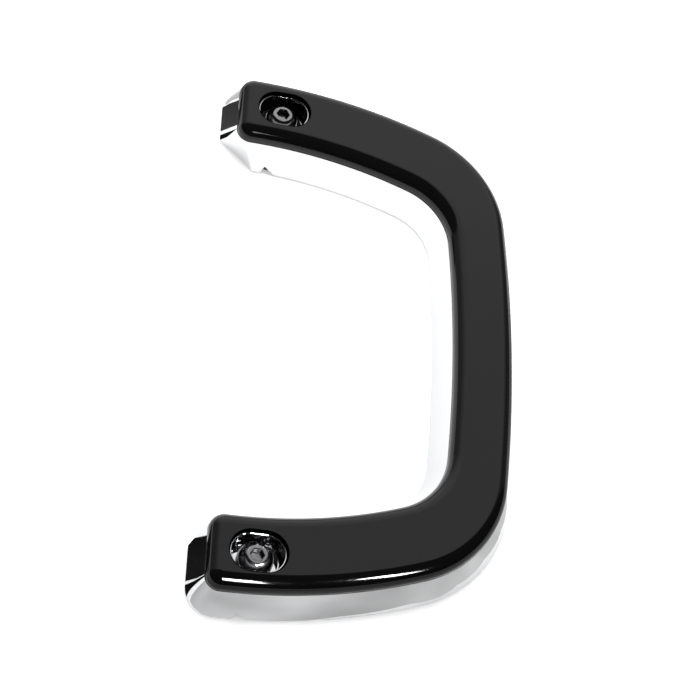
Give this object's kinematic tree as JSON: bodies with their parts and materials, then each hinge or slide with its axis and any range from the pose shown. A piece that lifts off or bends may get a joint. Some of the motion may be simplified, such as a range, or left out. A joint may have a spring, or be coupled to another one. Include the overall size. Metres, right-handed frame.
{
  "type": "bed assist handle",
  "caption": "Bowed U-shaped assist handle with a gloss black cover over a chrome tray, steel strap inside, and a bolt in an oval recess at each foot.",
  "frame": {"origin": "midway between the two bolt axes, in the plane the feet are mounted on", "axes": "+Z out of the cover, away from the mounting panel; +Y from the lower foot to the upper foot; the grip lies on the +X side"},
  "size_m": [0.137, 0.257, 0.0429],
  "materials": {
    "cover": "high gloss black",
    "tray": "mirror plated",
    "cup": "plated, fine drawing marks",
    "bolt": "plated steel",
    "strap": "rolled and brushed",
    "washer": "zinc plated",
    "bush": "turned",
    "screw": "zinc plated",
    "insert": "machined",
    "seal": "matt",
    "gasket": "matt",
    "pad": "foam"
  },
  "bodies": {
    "handle": {"top_cover": "cover", "base_tray": "tray", "core_strap": "strap", "parting_seal": "seal", "upper_recess_cup": "cup", "lower_recess_cup": "cup", "upper_washer": "washer", "lower_washer": "washer", "upper_spring_washer": "washer", "lower_spring_washer": "washer", "upper_foot_bush": "bush", "lower_foot_bush": "bush", "upper_foot_gasket": "gasket", "lower_foot_gasket": "gasket", "cover_screws": "screw", "cover_inserts": "insert", "strap_screws": "screw", "strap_pads": "pad"},
    "upper_bolt": {"upper_bolt": "bolt"},
    "lower_bolt": {"lower_bolt": "bolt"}
  },
  "joints": [
    {"name": "upper_bolt_turn", "type": "hinge", "parent": "handle", "child": "upper_bolt", "pos_m": [0, 0.107, 0.003], "axis": [0, 0, 1], "continuous": true},
    {"name": "lower_bolt_turn", "type": "hinge", "parent": "handle", "child": "lower_bolt", "pos_m": [0, -0.107, 0.003], "axis": [0, 0, 1], "continuous": true}
  ]
}
